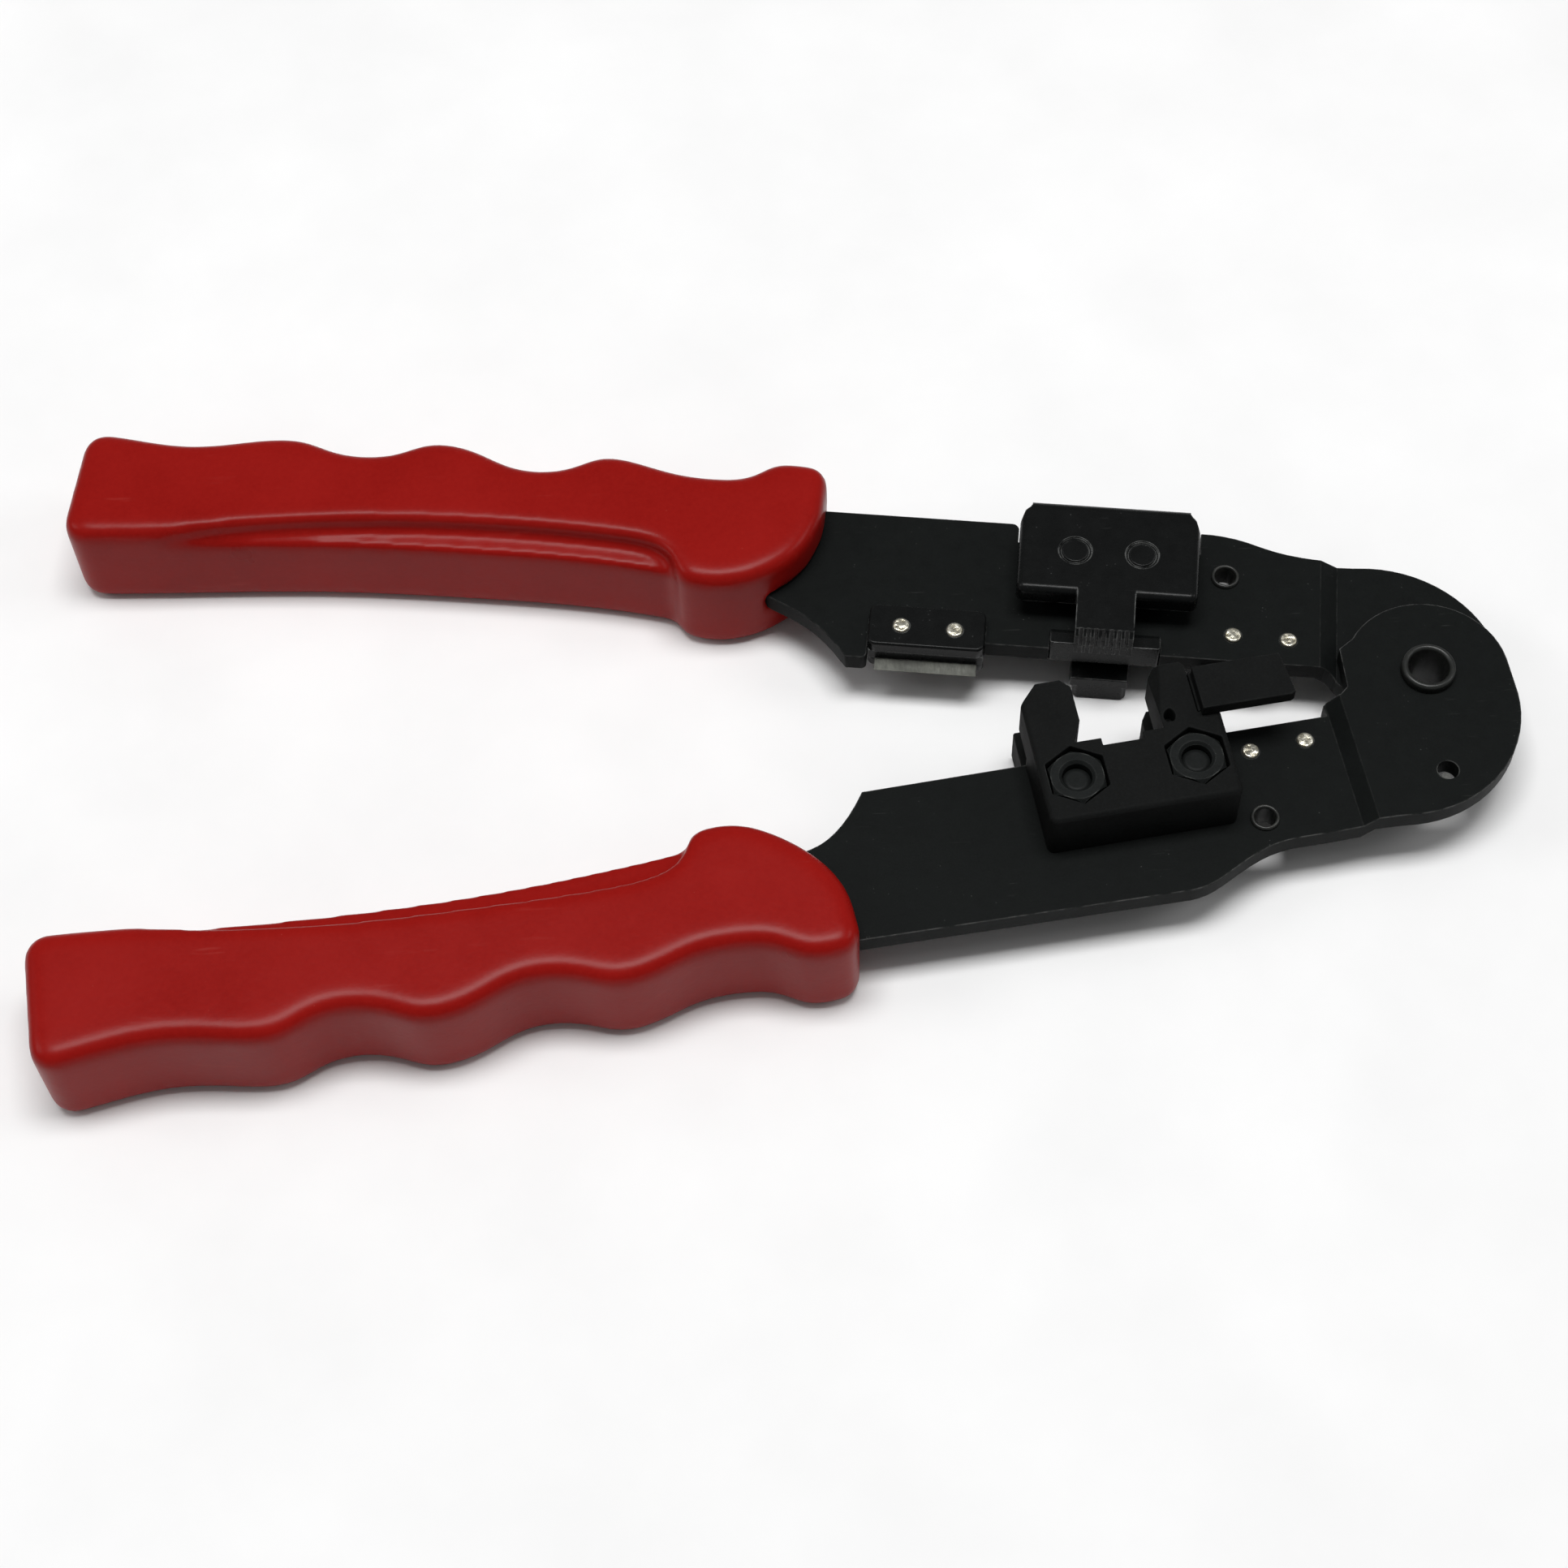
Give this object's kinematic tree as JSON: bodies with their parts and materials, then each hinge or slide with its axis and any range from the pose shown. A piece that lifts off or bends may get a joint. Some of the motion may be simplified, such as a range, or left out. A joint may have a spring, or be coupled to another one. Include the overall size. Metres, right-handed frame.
{
  "type": "modular plug crimping tool",
  "caption": "Hand crimping tool with two crossed steel levers on a hollow rivet, moulded grips, a plug nest with comb punch, a wire cutter and flat-cable stripping blades.",
  "frame": {"origin": "on the pivot axis, at the centre of the hollow rivet's bore, midway through the lever plates", "axes": "+X from the grips to the nose, midway between the open levers; +Y towards the lever that carries the punch; +Z along the pivot axis, out of the face that shows the rivet rim and the nest's nuts"},
  "size_m": [0.1968, 0.0991, 0.0194],
  "materials": {
    "lever_steel": "black oxide, satin, worn at the edges",
    "grip_vinyl": "red moulded vinyl, satin",
    "nest_black": "matte, fine cast texture",
    "punch_steel": "black oxide, polished at the rounded edges",
    "blade_steel": "ground",
    "pin_nickel": "nickel plated, hammered ends",
    "rivet_steel": "dark oxide with a worn bright rim",
    "bolt_black": "black oxide",
    "spring_steel": "oiled spring wire"
  },
  "bodies": {
    "lower_arm": {"lower_lever": "lever_steel", "lower_grip": "grip_vinyl", "plug_nest_front": "nest_black", "plug_nest_rear": "nest_black", "nest_bolts": "bolt_black", "nest_nuts": "bolt_black", "strip_length_stop": "nest_black", "stripper_blade_lower": "blade_steel", "stripper_pins_lower": "pin_nickel", "eyelet_lower": "rivet_steel", "pivot_rivet": "rivet_steel", "pivot_washer": "rivet_steel", "return_spring": "spring_steel"},
    "upper_arm": {"upper_lever": "lever_steel", "upper_grip": "grip_vinyl", "punch_bracket": "punch_steel", "contact_comb": "punch_steel", "strain_relief_punch": "punch_steel", "punch_rivets": "punch_steel", "punch_spacers": "punch_steel", "jaw_insert": "punch_steel", "cutter_guard": "punch_steel", "cutter_backing": "punch_steel", "cutter_blade": "blade_steel", "stripper_blade_upper": "blade_steel", "cutter_pins": "pin_nickel", "stripper_pins_upper": "pin_nickel", "eyelet_upper": "rivet_steel"}
  },
  "joints": [
    {"name": "lever_pivot", "type": "hinge", "parent": "lower_arm", "child": "upper_arm", "pos_m": [0, 0, 0], "axis": [0, 0, 1], "range_deg": [0, 15.6], "stiffness_Nm_per_rad": 0.24, "springref_deg": -20.05, "deforming": ["return_spring"]}
  ]
}
